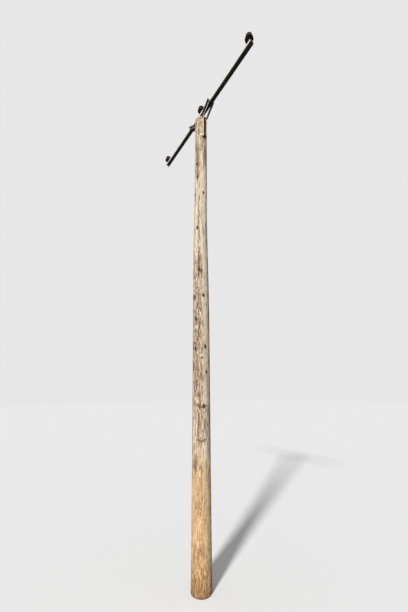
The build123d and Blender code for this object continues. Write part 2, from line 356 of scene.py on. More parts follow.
def weathered_wood():
    """Softwood paled by the sun: cream and tan streaks along the fibres, flanks made paler as painted light,
    drying cracks that are dense below mid height and sparse above it, and a warmer, finely dashed foot."""
    w = Finish("weathered_wood")
    grain = w.mark("grain", "Vector")
    height = w.parts(w.place())["Z"]
    skin_paleness = w.mark("skin_paleness")
    low = w.between(height, *warm_foot)

    # The fibres, moved a little sideways so that their marks wander
    wander = w.times(w.noise(grain, 11, 2, rise=0.4), 0.014)
    sideways = w.node("ShaderNodeCombineXYZ", {0: wander, 1: wander}).outputs[0]
    bent = w.node("ShaderNodeVectorMath", {0: grain, 1: sideways}, operation="ADD").outputs[0]

    # Tone: coarse and fine patterns and the weather, with short dashes in place of the streaks at the foot
    patches = w.noise(grain, 17, 3, rise=0.25)
    streaks = w.noise(bent, 60, 4, 0.65, rise=0.08)
    lines = w.noise(bent, 190, 3, 0.6, rise=0.04)
    flecks = w.noise(bent, 88, 3, 0.65, rise=0.20)
    fibres = w.noise(grain, 400, 3, rise=0.022)
    centring = -0.517
    tone = w.plus(centring, patches, 0.20)
    for pattern, share in ((lines, 0.20), (streaks, 0.54), (flecks, 0.46), (skin_paleness, 0.12), (fibres, 0.55)):
        tone = w.plus(tone, pattern, share)
    short = w.plus(-0.75, w.noise(bent, 80, 3, 0.65, rise=0.24), 2.5)
    tone = w.plus(tone, w.less(short, streaks), w.times(low, 0.54))
    colour = w.ramp(tone, (0.45, dark_fibre), (0.51, tan_fibre), (0.56, pale_fibre), (0.61, cream_fibre))

    # Cracks: long splits and short dashes where the log is crackled, and seams high up
    worn = w.times(w.plus(0.70, w.between(height, *cracked_middle), 0.30), w.mark("crackle"))
    split = w.ridge(w.noise(bent, 46, 2, 0.5, rise=0.025), 0.010, 0.050)
    split = w.times(split, w.between(w.noise(grain, 24, 3, rise=0.32), 0.46, 0.54))
    dash = w.ridge(w.noise(bent, 84, 2, 0.5, rise=0.065), 0.024, 0.095)
    dash = w.times(dash, w.between(w.noise(grain, 62, 2, rise=0.38), 0.44, 0.54))
    dash = w.times(dash, worn)
    seam = w.ridge(w.noise(bent, 50, 2, 0.5, rise=0.018), 0.010, 0.050)
    seam = w.times(seam, w.between(w.noise(grain, 20, 2, rise=0.12), 0.48, 0.58))
    seam = w.times(seam, w.between(height, *calm_top))
    long_cracks = w.calc("MAXIMUM", w.times(split, worn), seam)

    # Paleness, from exposure up the log and from painted light on the flanks, the warm foot, the hues in the
    # cracks, and stains
    grey = w.between(w.noise(grain, 5, 2, rise=0.2), 0.50, 0.72)
    colour = w.over(colour, grey, 0.25, grey_cast, "MULTIPLY")
    colour = w.mix(w.calc("SUBTRACT", 1.0, skin_paleness, clamp=True), colour, brown_fibre)
    # Paleness above 1 goes to the palest hue: on the flanks this is painted light
    colour = w.over(colour, w.calc("SUBTRACT", skin_paleness, 1.0, clamp=True), 0.52, paled_and_lit_fibre)
    warm = w.between(w.plus(height, w.noise(grain, 14, 3, rise=0.4), 0.55), *warm_edge)
    colour = w.mix(warm, colour, warm_cast, "MULTIPLY")
    # Darker towards the bottom
    colour = w.over(colour, w.between(height, *darker_bottom), 0.8, bottom_darkening, "MULTIPLY")
    colour = w.over(colour, w.mark("fissure"), 0.70, w.mix(low, *fissure_hues))
    colour = w.over(colour, dash, 0.90, w.mix(low, *dash_hues))
    colour = w.over(colour, long_cracks, 0.94, w.mix(low, *split_hues))
    blotch = w.between(w.plus(w.less(w.mark("stain"), 0.45), streaks, 0.9), 0.25, 0.55)
    colour = w.over(colour, blotch, 0.75, stain_brown)
    ringed = w.between(w.plus(w.less(w.mark("collar"), 0.5), lines, 0.8), 0.42, 0.80)
    colour = w.over(colour, ringed, 0.70, stain_brown)
    colour = w.mix(w.between(w.mark("check"), 0.1, 0.8), colour, check_dark)

    relief = w.bump(w.less(lines, w.calc("MAXIMUM", long_cracks, dash)), 0.5, 0.002)
    relief = w.bump(fibres, 0.4, 0.0006, relief)
    return w.finish(Base_Color=colour, Roughness=0.86, Specular_IOR_Level=0.25, Normal=relief)


# Growth rings and a knot's own rings: turns of their wave in radians per metre
growth_ring_turns = 1900.0
knot_ring_turns = 3600.0


def end_grain():
    """The sawn top: growth rings round the pith, grey and furry, long weathered."""
    w = Finish("end_grain")
    place = w.place()
    x, y, _ = w.parts(place)
    flat = w.node("ShaderNodeCombineXYZ", {0: x, 1: y}).outputs[0]
    radius = w.node("ShaderNodeVectorMath", {0: flat}, operation="LENGTH").outputs["Value"]
    ring = w.calc("SINE", w.times(w.plus(radius, w.noise(place, 9, 2), 0.016), growth_ring_turns))
    tone = w.plus(w.noise(place, 260, 3), ring, 0.16)
    colour = w.ramp(tone, (0.30, (0.16, 0.12, 0.09)), (0.52, (0.40, 0.33, 0.25)), (0.72, (0.60, 0.52, 0.42)))
    colour = w.mix(w.between(w.mark("check"), 0.1, 0.8), colour, check_dark)
    return w.finish(Base_Color=colour, Roughness=0.9, Specular_IOR_Level=0.2, Normal=w.bump(tone, 0.5, 0.002))


def knot_wood():
    """A knot: close rings round a dark heart, redder than the wood about it, black in its splits."""
    w = Finish("knot_wood")
    speck = w.noise(w.place(), 220, 3)
    rings = w.calc("SINE", w.times(w.plus(w.mark("ring"), speck, 0.0012), knot_ring_turns))
    tone = w.plus(speck, rings, 0.06)
    colour = w.ramp(tone, (0.36, (0.012, 0.008, 0.006)), (0.55, (0.062, 0.036, 0.022)),
                    (0.72, (0.20, 0.12, 0.068)))
    colour = w.mix(w.between(w.mark("split"), 0.25, 0.75), colour, (0.010, 0.007, 0.005))
    return w.finish(Base_Color=colour, Roughness=0.7, Specular_IOR_Level=0.3, Normal=w.bump(tone, 0.4, 0.002))


# Hues of old zinc before each piece's own paleness, of what lies on it, and of painted shade
zinc_dull = (0.70, 0.635, 0.52)
zinc_bright = (0.78, 0.71, 0.59)
zinc_chalk = (0.93, 0.86, 0.73)
dirt_brown = (0.36, 0.26, 0.17)
rust_bloom = (0.74, 0.45, 0.235)
rust_edge = (0.27, 0.125, 0.070)
rust_spot = (0.25, 0.115, 0.050)
# Near-black hues of painted shade, for undersides and the hollows of the arm and the brackets
painted_shade_black = (0.030, 0.024, 0.018)
painted_arm_shade = (0.012, 0.010, 0.008)
painted_bracket_shade = (0.012, 0.024, 0.011)


def paler(hue, pale):
    """The hue times the paleness, each part held at 1."""
    return tuple(min(part * pale, 1.0) for part in hue)


def zinc_steel(name, pale, rust, hollow=None, shade_hue=painted_shade_black, bloom=0.0):
    """Old galvanised steel: faint spangles beneath chalk, brown dirt, rust in spots and in a thin bloom, and
    painted shade, near black, on undersides and, if asked, inside the hollow of the arm or of a bracket."""
    w = Finish(name)
    place = w.place()
    x, y, z = w.parts(place)
    chalk = w.noise(place, 26, 4, 0.6)
    dirt_and_shade_noise = w.noise(place, 9, 4, 0.6, rise=0.6)
    cells = w.node("ShaderNodeTexVoronoi", {"Vector": place, "Scale": 85}).outputs["Color"]
    spangle = w.node("ShaderNodeSeparateColor", {0: cells}).outputs[0]
    colour = w.ramp(spangle, (0.0, paler(zinc_dull, pale)), (1.0, paler(zinc_bright, pale)))
    colour = w.mix(w.between(chalk, 0.42, 0.66), colour, paler(zinc_chalk, pale))
    colour = w.over(colour, w.between(dirt_and_shade_noise, 0.50, 0.72), 0.55, dirt_brown)
    if bloom:
        haze = w.between(w.noise(place, 22, 3, 0.6, rise=0.4), 0.62 - bloom, 0.80 - bloom)
        colour = w.over(colour, haze, 0.80, rust_bloom)
    # Painted shade: faces turned down, ragged by the dirt noise, and the hollow inside the channel take the
    # near-black shade hue
    facing = w.parts(w.node("ShaderNodeNewGeometry").outputs["Normal"])["Z"]
    painted_shade = w.between(w.plus(facing, dirt_and_shade_noise, 0.4), 0.10, -0.30)
    if hollow is not None:
        narrow = w.calc("LESS_THAN", w.calc("ABSOLUTE", y), channel_hollow)
        if hollow == "arm":
            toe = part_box("crossarm")[0].z
            hollow_shade = w.calc("LESS_THAN", z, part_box("crossarm")[1].z - channel_web)
            edge = w.between(w.plus(z, dirt_and_shade_noise, 0.006), toe + 0.010, toe + 0.006)
            colour = w.over(colour, edge, 0.75, rust_edge)
        else:
            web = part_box("right_bracket")[0].x + channel_web
            hollow_shade = w.between(w.calc("ABSOLUTE", x), web + 0.034, web + 0.010)
        painted_shade = w.calc("MAXIMUM", painted_shade, w.times(narrow, hollow_shade))
    colour = w.mix(painted_shade, colour, w.mix(dirt_and_shade_noise, shade_hue, paler(shade_hue, 1.6)))
    spots = w.between(w.noise(place, 60, 5, 0.7), 0.66 - rust, 0.74 - rust)
    colour = w.over(colour, spots, 0.8, rust_spot)
    shine = w.calc("MULTIPLY_ADD", chalk, 0.25, 0.50, clamp=True)
    return w.finish(Base_Color=colour, Metallic=0.0, Roughness=shine, Specular_IOR_Level=0.35,
                    Normal=w.bump(chalk, 0.15, 0.001))


def brown_glaze():
    """Dark brown glaze, glass smooth, redder where it runs thin over an edge and dull in spots of dust."""
    w = Finish("brown_glaze")
    place = w.place()
    colour = w.ramp(w.noise(place, 24, 3), (0.35, (0.018, 0.008, 0.006)), (0.65, (0.050, 0.018, 0.012)))
    colour = w.mix(w.between(w.mark("thin"), 0.3, 1.0), colour, (0.16, 0.050, 0.028))
    rough = w.plus(0.20, w.between(w.noise(place, 45, 4), 0.45, 0.75), 0.24)
    return w.finish(Base_Color=colour, Roughness=rough, Specular_IOR_Level=0.22,
                    Normal=w.bump(w.noise(place, 90, 2), 0.05, 0.001))


wood = weathered_wood()
sawn_wood = end_grain()
knots_wood = knot_wood()
arm_zinc = zinc_steel("arm_zinc", 1.02, 0.01, "arm", painted_arm_shade)
bracket_zinc = zinc_steel("bracket_zinc", 1.0, 0.02, "bracket", painted_bracket_shade, 0.26)
front_strut_zinc = zinc_steel("front_strut_zinc", 1.06, 0.02, bloom=0.10)
# The back struts take a low paleness as painted shade
shaded_back_strut_zinc = zinc_steel("shaded_back_strut_zinc", 0.30, 0.06)
saddle_zinc = zinc_steel("saddle_zinc", 1.04, 0.02)
upper_saddle_zinc = zinc_steel("upper_saddle_zinc", 0.80, 0.05, bloom=0.20)
bolt_zinc = zinc_steel("bolt_zinc", 0.42, 0.10)
pin_zinc = zinc_steel("pin_zinc", 0.35, 0.08)
glaze = brown_glaze()


# The log's line, read from the frame

station_gaps = 30
fewest_points = 12


def log_line():
    """Stations up the log, with the centre and radius of the circle that fits the frame's solid there."""
    mesh = nodes["wooden_pole"].data
    points = np.empty(len(mesh.vertices) * 3, np.float32)
    mesh.vertices.foreach_get("co", points)
    points = points.reshape(-1, 3).astype(float)
    top = points[:, 2].max()
    sawn_edge = points[:, 2] > top - 0.001
    seat = np.abs(points[sawn_edge, 0]).max()
    across = np.hypot(points[:, 0], points[:, 1])
    skin = points[(np.abs(points[:, 0]) < seat - 0.002) & (across > 0.100) & ~sawn_edge]
    spacing = top / station_gaps
    fits = []
    for height in np.arange(station_gaps + 1) * spacing:
        near = skin[np.abs(skin[:, 2] - height) < spacing * 0.6]
        if len(near) < fewest_points:
            continue
        table = np.column_stack((2 * near[:, 0], 2 * near[:, 1], np.ones(len(near))))
        x, y, rest = np.linalg.lstsq(table, (near[:, :2] ** 2).sum(1), rcond=None)[0]
        fits.append((near[:, 2].mean(), x, y, math.sqrt(rest + x * x + y * y)))
    fits = np.array(fits)
    return top, fits[:, 0], fits[:, 1:], seat


log_top, stations, circles, seat_plane = log_line()
mean_radius = circles[:, 2].mean()
seat_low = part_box("right_bracket")[0].z - 0.025
check_gap = check_half_width / (2 * math.pi * mean_radius)


def log_circle(height):
    """Centre x, centre y and radius of the log at a height."""
    return [np.interp(height, stations, circles[:, part]) for part in range(3)]


# Soft waves of the skin: how many round the log, turn, length, drift and share
waves = list(zip((2, 3, 3, 5, 7), rng.uniform(0, 2 * math.pi, 5), rng.uniform(0.5, 2.2, 5),
                 rng.uniform(0, 2 * math.pi, 5), (0.34, 0.26, 0.18, 0.12, 0.10)))


def uneven(bearing, height):
    """How far the skin lies inside its circle: long soft waves that fade towards the brackets' seats."""
    total = 0.0
    for count, turn, length, drift, share in waves:
        total = total + share * np.sin(count * bearing + turn + 0.6 * np.sin(height / length + drift))
    calm = 1.0 - 0.8 * smooth_step((height - (seat_low - 0.4)) / 0.4)
    return log_recess + unevenness * calm * (0.5 + 0.5 * total)


def skin_radius(bearing, height):
    """The log's radius before its checks, with the flat seats taken off both sides."""
    radius = log_circle(height)[2] - uneven(bearing, height)
    seat = seat_plane + seat_run_out_slope * np.maximum(seat_low - height, 0.0)
    return np.minimum(radius, seat / np.maximum(np.abs(np.cos(bearing)), 1e-6))


def clouds(share, height, strands, length):
    """Noise from 0 to 1 on the skin: each strand round the log has random values every length, blended along
    the strand and from each strand to the next, so that the pattern closes on itself."""
    table = rng.random((int(log_top / length) + 4, strands))
    offsets = rng.random(strands)

    def strand(which):
        row = height / length + offsets[which]
        low = np.floor(row).astype(int)
        part = smooth_step(row - low)
        return table[low, which] * (1 - part) + table[low + 1, which] * part

    column = (share % 1.0) * strands
    left = np.floor(column).astype(int) % strands
    part = smooth_step(column - np.floor(column))
    return strand(left) * (1 - part) + strand((left + 1) % strands) * part


# Knots that show on the near face: height, bearing in degrees and half width in metres
near_knots = [
    (6.22, -73, 0.022), (5.91, -65, 0.021), (5.57, -7, 0.018), (5.55, -92, 0.017), (4.86, -61, 0.022),
    (4.09, -46, 0.024), (4.06, -28, 0.014), (3.64, -93, 0.02), (3.65, -14, 0.017), (3.29, -71, 0.018),
    (2.84, -74, 0.017), (2.86, -4, 0.017), (2.7, -26, 0.01), (2.51, 3, 0.014), (2.05, -18, 0.017),
]
far_face = (30.0, 235.0)
far_whorl_spacing = 0.43


def far_knots():
    """Knots on the sides that the photograph doesn't show: whorls of one to three at an uneven spacing."""
    found = []
    height = 0.35
    while height < log_top - 0.75:
        for bearing in rng.uniform(*far_face, rng.integers(1, 4)):
            found.append((height + rng.uniform(-0.05, 0.05), bearing, rng.uniform(0.009, 0.015)))
        height += far_whorl_spacing * rng.uniform(0.6, 1.4)
    return found


knots = np.array(near_knots + far_knots())
knots[:, 1] = np.radians(knots[:, 1])


def twist(height):
    """How far the fibres have turned round the log at a height: a slow spiral with a slight wander."""
    return grain_twist * height / log_top + 0.025 * np.sin(height * 1.7 + 0.4)


# Weather up the log: height and how pale the wood is there
weather_heights = [0.0, 0.15, 0.35, 0.6, 0.9, 1.15, 1.21, 1.6, 1.7, 2.5, 3.4, 4.2, 4.9, 5.5, 6.0, 6.6, 7.36]
weather_tones = [0.54, 0.76, 1.04, 1.34, 1.46, 1.46, 1.12, 1.0, 0.99, 0.94, 1.04, 1.22, 1.42, 1.42, 1.22,
                 1.02, 0.94]

# Flanks made paler as painted light: bearing and reach in degrees, gain, and its share up the log
painted_light_flanks = [
    (3.0, 52.0, 0.60, [0.0, 0.2, 0.5, 1.2, 1.5, 1.8, 2.1, 4.0, 4.5, 5.8, 6.3, 6.9],
     [0.2, 0.7, 1.2, 1.8, 1.2, 0.3, 0.9, 1.3, 1.8, 1.8, 1.1, 0.0]),
    (-30.0, 22.0, 0.38, [4.3, 4.7, 5.0, 6.8, 7.2], [0.0, 0.6, 1.2, 1.2, 0.0]),
    (-80.0, 34.0, 0.42, [0.3, 0.6, 1.1, 1.4, 1.8, 2.2, 4.2, 4.6, 5.2, 6.1],
     [0.0, 1.0, 1.0, 0.4, 0.8, 0.0, 0.0, 2.0, 1.6, 0.0]),
]

# Stains on the near face: height, bearing in degrees, half height, half width in metres, strength
near_stains = [
    (1.635, -52, 0.016, 0.03, 0.8), (1.62, -38, 0.015, 0.035, 0.7), (1.622, -22, 0.015, 0.035, 0.7),
    (1.64, -8, 0.016, 0.03, 0.7), (1.33, -73, 0.13, 0.055, 0.55), (1.21, -60, 0.014, 0.1, 0.35),
    (2.07, -58, 0.018, 0.032, 0.7), (2.04, -42, 0.016, 0.035, 0.65), (2.035, -28, 0.014, 0.03, 0.6),
    (2.055, -5, 0.016, 0.04, 0.7), (4.22, -48, 0.22, 0.014, 1.2), (5.15, -52, 0.6, 0.02, 0.5),
    (6.25, -64, 0.5, 0.036, 0.68), (4.05, -36, 0.05, 0.04, 0.55), (3.62, -86, 0.05, 0.045, 0.75),
    (3.5, -62, 0.08, 0.012, 0.8), (2.86, -70, 0.05, 0.05, 0.45), (2.5, -54, 0.08, 0.012, 0.8),
    (1.88, -49, 0.12, 0.012, 0.8), (0.45, -40, 0.09, 0.11, 0.42), (5.5, -88, 0.35, 0.016, 0.6),
    (6.55, -75, 0.4, 0.014, 0.5), (6.3, -8, 0.6, 0.012, 0.35), (6.42, 8, 0.3, 0.04, 0.7),
    (2.35, -72, 0.22, 0.045, 0.42), (4.7, -6, 0.9, 0.012, 0.2), (0.28, -30, 0.008, 0.12, 0.35),
]
far_stain_count = 46


def stains(around, height):
    """How dark the skin is stained: spots on the near face, random ones behind, and a run at each knot, each
    falling off like a bell over its half width and half height."""
    spots = [(z, math.radians(turn), *rest) for z, turn, *rest in near_stains]
    for _ in range(far_stain_count):
        spots.append((rng.uniform(0.2, 7.0), math.radians(rng.uniform(*far_face)), rng.uniform(0.03, 0.30),
                      rng.uniform(0.010, 0.045), rng.uniform(0.3, 0.7)))
    for z, turn, size in knots:
        shift = rng.uniform(-1.6, 1.6) * size
        spots.append((z + shift, turn + rng.uniform(-0.7, 0.7) * size / 0.12, size * 2.6, size * 1.2, 0.65))
    total = np.zeros_like(around)
    for z, turn, tall, wide, dark in spots:
        aside = turned_to_pi(around - turn) * mean_radius / wide
        rise = (height - z) / tall
        total = np.maximum(total, dark * np.exp(-(aside ** 2 + rise ** 2) * 0.9))
    return total


# Drying checks on the near face: lower end, upper end and bearing in degrees
near_checks = [(3.98, 4.46, -46), (2.42, 2.6, -54), (1.74, 2.06, -49), (5.05, 6.1, -38), (0.1, 1.18, -30),
               (0.6, 1.6, -66), (3.05, 3.45, -58), (6.35, 7.36, -12), (4.7, 5.4, -80), (6.6, 7.36, -60)]
far_check_lines = 9


def check_table():
    """Every check: the fibre line it runs along, its ends, half width and depth."""
    rows = []
    for low, high, bearing in near_checks:
        line = (math.radians(bearing) - float(twist((low + high) / 2))) / (2 * math.pi)
        half = check_half_width * rng.uniform(0.7, 1.2)
        rows.append((line % 1.0, low, high, half, check_depth * rng.uniform(0.6, 1.0)))
    first, last = far_face
    for number in range(far_check_lines):
        bearing = first + (last - first) * (number + rng.uniform(0.2, 0.8)) / far_check_lines
        line = math.radians(bearing) / (2 * math.pi)
        start = rng.uniform(0.0, 1.5)
        while start < log_top - 0.4:
            end = min(start + rng.uniform(0.5, 2.2), log_top)
            half = check_half_width * rng.uniform(0.6, 1.4)
            rows.append((line % 1.0, start, end, half, check_depth * rng.uniform(0.5, 1.2)))
            start = end + rng.uniform(0.3, 1.6)
    return np.array(rows)


def skin_columns(checks):
    """The skin's columns as shares of a turn: even ones, and three close together on each check's line."""
    lines = np.unique(np.round(checks[:, 0], 5))
    even = np.arange(log_columns) / log_columns
    gap = np.abs((even[:, None] - lines + 0.5) % 1.0 - 0.5).min(1)
    even = even[gap > 0.45 / log_columns]
    return np.sort(np.concatenate((even, lines, lines - check_gap, lines + check_gap)) % 1.0)


def part_at_knots(around, height):
    """The bearings once the fibres have parted round the knots, with their collars: a column moves aside by
    its distance times the knot's size squared over their summed squares, and a collar fades past the rim."""
    spread = np.zeros_like(around)
    collar = np.zeros_like(around)
    for knot_height, knot_bearing, size in knots:
        rows = np.abs(height[:, 0] - knot_height) < parting_height
        aside = turned_to_pi(around[rows] - knot_bearing) * mean_radius
        rise = (height[rows] - knot_height) / parting_length
        spread[rows] += aside * size ** 2 / (aside ** 2 + rise ** 2 + size ** 2) / mean_radius
        aside = turned_to_pi(around[rows] + spread[rows] - knot_bearing) * mean_radius
        reach = np.sqrt(aside ** 2 + (rise * 1.5) ** 2)
        collar[rows] = np.maximum(collar[rows], smooth_step((size * collar_reach - reach) / size))
    return around + spread, collar


def flank(around, bearing, reach):
    """1 at a bearing, falling smoothly to 0 at its reach, both in degrees."""
    return smooth_step(1.0 - np.abs(turned_to_pi(around - math.radians(bearing))) / math.radians(reach))


def paleness_and_flank_light(line, around, height):
    """How pale the skin is, from exposure up the log plus painted light on its flanks, with the share of it
    that is painted light.
    """
    skin_paleness = np.interp(height, weather_heights, weather_tones)
    for strands, length in ((9, 0.55), (26, 0.30)):
        skin_paleness = skin_paleness + 0.20 * (clouds(line, height, strands, length) - 0.5)
    flank_light = np.zeros_like(around)
    # Painted light: the listed flanks are made paler
    for bearing, reach, gain, heights, shares in painted_light_flanks:
        flank_light = flank_light + gain * flank(around, bearing, reach) * np.interp(height, heights, shares)
    return skin_paleness + flank_light, flank_light


def crackling(around, height, flank_light):
    """How far the skin is crackled: less on the smooth right flank, at the foot and where light is painted on
    the flanks.
    """
    smooth_side = flank(around, 2.0, 40.0) * np.interp(height, [1.9, 2.2, 3.1, 3.5], [0.0, 1.0, 1.0, 0.3])
    crackle = 1.0 - 0.65 * smooth_side
    crackle = crackle * np.interp(height, [1.0, 1.3, 1.8, 2.1], [0.60, 0.65, 0.8, 1.0])
    calmer = np.clip(flank_light / 0.8, 0.0, 1.0) * np.interp(height, [1.1, 1.5], [0.3, 1.0])
    high_up = np.interp(height, [4.0, 4.4], [0.0, 1.0])
    return np.maximum(crackle * (1.0 - (0.65 + 0.27 * high_up) * calmer), 0.34 - 0.20 * high_up)


def long_ridges(line, height):
    """Low ridges along the fibres, from 0 to 1: the mean of four waves that sway as they rise."""
    total = 0.0
    for count in (23, 31, 47, 61):
        turn = rng.uniform(0, 6.3)
        sway = 0.8 * np.sin(height * rng.uniform(0.8, 2.5))
        total = total + np.sin(2 * math.pi * count * line + turn + sway)
    return 0.5 + 0.5 * total / 4


def open_checks(checks, columns, heights, radius, around):
    """Cuts each check into its own column, to a depth that swells and dies out as a half circle does, and
    parts the columns beside it. Gives how far open each point is."""
    check = np.zeros_like(around)
    for own, low, high, half, depth in checks:
        column = int(np.abs((columns - own + 0.5) % 1.0 - 0.5).argmin())
        share = (heights - (low + high) / 2) / ((high - low) / 2)
        if high >= log_top - 0.001:
            share = (share - 1) / 2
        taper = np.clip(1.0 - share ** 2, 0.0, 1.0) * (heights > low) * (heights <= high)
        opened = np.sqrt(taper)
        ragged = 0.75 + 0.25 * np.sin(heights * 37 + own * 90) * np.sin(heights * 11 + own * 40)
        radius[:, column] -= depth * opened * ragged
        check[:, column] = np.maximum(check[:, column], opened)
        parted = np.where(taper > 0, half * opened * ragged / mean_radius - check_gap * 2 * math.pi, 0.0)
        around[:, column - 1] -= parted
        around[:, (column + 1) % len(columns)] += parted
    return check


def sawn_cap(around, x, y, check):
    """Rings from the rim in to the top's centre, sunk where a check runs in, and how open each point is."""
    inward = (np.arange(cap_rings)[::-1] / cap_rings)[:-1, None, None] ** 0.8
    rim_radius = skin_radius(around, log_top) - rim_bevel
    rim = about(x, y, rim_radius, around, np.full(len(around), log_top))
    centre = np.array([x[0], y[0], log_top])
    cap = centre + (rim - centre) * inward
    open_top = check * inward[:, :, 0] ** 1.5
    cap[:, :, 2] -= open_top * check_depth
    return cap, open_top, centre


def build_log():
    """The log's skin: at each share of a turn and height, its point lies at the uneven round's radius less
    fissures, ridges and checks. Columns follow the fibres round the knots, and a sawn cap closes the top."""
    checks = check_table()
    columns = skin_columns(checks)
    rim_drops = rim_bevel * np.array([0.55, 0.2, 0.0])
    rim_draws = rim_bevel * np.array([0.12, 0.45, 1.0])
    heights = np.concatenate((np.linspace(0.0, log_top - rim_bevel, log_rows), log_top - rim_drops))
    line, height = np.meshgrid(columns, heights)
    around, collar = part_at_knots(line * 2 * math.pi + twist(height), height)
    radius = skin_radius(around, height) + collar * collar_rise

    fissure = smooth_step((clouds(line, height, fissure_strands, fissure_length) - 0.62) / 0.14)
    fine = smooth_step((clouds(line, height, fine_fissure_strands, fine_fissure_length) - 0.60) / 0.14)
    calm = (1 - collar) * (height < log_top - 0.02)
    radius -= calm * (fissure_depth * fissure + fine_fissure_depth * fine)
    skin_paleness, flank_light = paleness_and_flank_light(line, around, height)
    stain = stains(around, height)
    crackle = crackling(around, height, flank_light)
    fissure = calm * np.maximum(fissure, 0.8 * fine) * (0.2 + 0.8 * crackle)
    radius -= ridge_depth * long_ridges(line, height)
    check = open_checks(checks, columns, heights, radius, around)
    radius[-len(rim_draws):] -= rim_draws[:, None]

    x, y, _ = log_circle(height)
    skin = about(x, y, radius, around, height)
    grain = about(0, 0, mean_radius, 2 * math.pi * line, height)
    cap, open_top, centre = sawn_cap(around[-1], x[-1], y[-1], check[-1])
    everything = np.concatenate((skin.reshape(-1, 3), cap.reshape(-1, 3), [centre, (x[0, 0], y[0, 0], 0.0)]))
    rows, count = line.shape
    last = len(everything) - 2
    sides = ring_faces(rows, count)
    bottom = fan_faces(0, count, last + 1, False)
    top = ring_faces(cap_rings, count, (rows - 1) * count)
    top_middle = fan_faces(last - count, count, last, True)
    unmarked = np.zeros(last + 2 - rows * count)
    marks = {"collar": collar, "fissure": fissure, "skin_paleness": skin_paleness, "crackle": crackle, "stain": stain}
    marks = {name: np.concatenate((mark.ravel(), unmarked)) for name, mark in marks.items()}
    marks["check"] = np.concatenate((check.ravel(), open_top.ravel(), [0, 0]))
    marks["grain"] = np.concatenate((grain.reshape(-1, 3), cap.reshape(-1, 3), np.zeros((2, 3))))
    shape = Shape()
    shape.add(everything, [sides, bottom], [top, top_middle], **marks)
    log = shape.object("log", [wood, sawn_wood])
    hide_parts("wooden_pole")


def build_knots():
    """Every knot as a low boss let into the skin: an oval whose radius is one plus three small waves, domed
    by the cube of its share of the radius, with two fine splits across it."""
    across_share = np.linspace(0.0, 1.0, knot_rings)[1:]
    share = np.concatenate((across_share, [1.04, 0.7]))[:, None]
    lift = np.concatenate((knot_lift * (1 - across_share ** 3) - 0.0001, [-0.003, -0.006]))[:, None]
    turn = np.arange(knot_turns) * 2 * math.pi / knot_turns
    rows = len(share)
    first = rows * knot_turns
    faces = [ring_faces(rows, knot_turns)[:, ::-1], fan_faces(0, knot_turns, first, True),
             fan_faces(first - knot_turns, knot_turns, first + 1, False)]
    shape = Shape()
    for height, bearing, size in knots:
        lean = rng.uniform(-0.25, 0.25)
        oval = 1 + sum(part * np.sin(waves * turn + rng.uniform(0, 6.3))
                       for waves, part in ((2, 0.14), (3, 0.12), (5, 0.07)))
        across = size * oval * np.cos(turn)
        upward = size * knot_slender * oval * np.sin(turn)
        aside = share * (across * math.cos(lean) - upward * math.sin(lean))
        own_height = height + share * (across * math.sin(lean) + upward * math.cos(lean))
        x, y, radius = log_circle(own_height)
        around = bearing + aside / radius
        split_turns = rng.uniform(0, 6.3, (2, 1))
        split = np.exp(-(turned_to_pi(turn - split_turns) / knot_split_reach) ** 2).sum(0)
        split = split * np.clip((0.9 - share) / 0.3, 0.0, 1.0)
        own = skin_radius(around, own_height) + collar_rise + lift - knot_split_depth * split
        points = about(x, y, own, around, own_height)
        x0, y0, _ = log_circle(height)
        heart = skin_radius(bearing, height) + collar_rise + np.array([0.0006, -0.009])
        ends = about(x0, y0, heart, bearing, [height, height])
        ring = np.concatenate((np.repeat(share * size, knot_turns), [0.0, 0.0]))
        shape.add(np.concatenate((points.reshape(-1, 3), ends)), faces, ring=ring,
                  split=np.concatenate((split.ravel(), [1.0, 0.0])))
    piece = shape.object("log_knots", [knots_wood])


# Porcelain insulators: half outline from the pin's socket down, round both skirts and up to the crown, each
# corner with its rounding, in metres above the skirt's rim
insulator_outline = [
    (0.0139, 0.0654, 0.0), (0.0139, 0.0270, 0.003), (0.0290, 0.0140, 0.004), (0.0290, 0.0070, 0.003),
    (0.0360, 0.0070, 0.003), (0.0360, 0.0335, 0.003), (0.0440, 0.0335, 0.004), (0.0630, 0.0030, 0.006),
    (0.0665, 0.0000, 0.002), (0.0699, 0.0010, 0.003), (0.0688, 0.0170, 0.008), (0.0622, 0.0320, 0.010),
    (0.0530, 0.0460, 0.006), (0.0450, 0.0545, 0.005), (0.0380, 0.0580, 0.004), (0.0380, 0.0665, 0.004),
    (0.0490, 0.0690, 0.004), (0.0565, 0.0715, 0.004), (0.0562, 0.0885, 0.006), (0.0, 0.0885, 0.0),
]
insulator_columns = 192
corner_steps = 6
groove_radius = 0.0085
groove_floor = 0.0790
crown_base = 0.0735
crown_top = 0.0885
groove_lip = 0.0020
out_of_true = 0.0045


def rounded(outline):
    """An outline with eased corners: a curve leaves the two straight runs at each corner's own distance."""
    corners = np.array(outline)
    line = [corners[0, :2]]
    for before, corner, after in zip(corners[:-2], corners[1:-1], corners[2:]):
        here, ease = corner[:2], corner[2]
        back = before[:2] - here
        ahead = after[:2] - here
        start = here + back * min(ease / np.hypot(*back), 0.48)
        end = here + ahead * min(ease / np.hypot(*ahead), 0.48)
        share = np.linspace(0.0, 1.0, corner_steps)[:, None]
        line.extend((1 - share) ** 2 * start + 2 * share * (1 - share) * here + share ** 2 * end)
    line.append(corners[-1, :2])
    return np.array(line)


def groove_outline():
    """Half the groove across the crown, as distance from its middle and height: a quarter round from the
    floor up to the wall, then a quarter round that rolls the lip over."""
    bend = np.linspace(0.0, math.pi / 2, 12)
    roll = np.linspace(0.0, math.pi / 2, 7)[1:]
    floor = groove_floor + groove_radius * (1 - np.cos(bend)) * 0.96
    lip = floor[-1] + (crown_top - floor[-1]) * np.sin(roll)
    aside = np.concatenate((np.sin(bend) * groove_radius,
                            groove_radius + groove_lip * (1 - np.cos(roll)) * 1.2))
    return aside, np.concatenate((floor, lip))


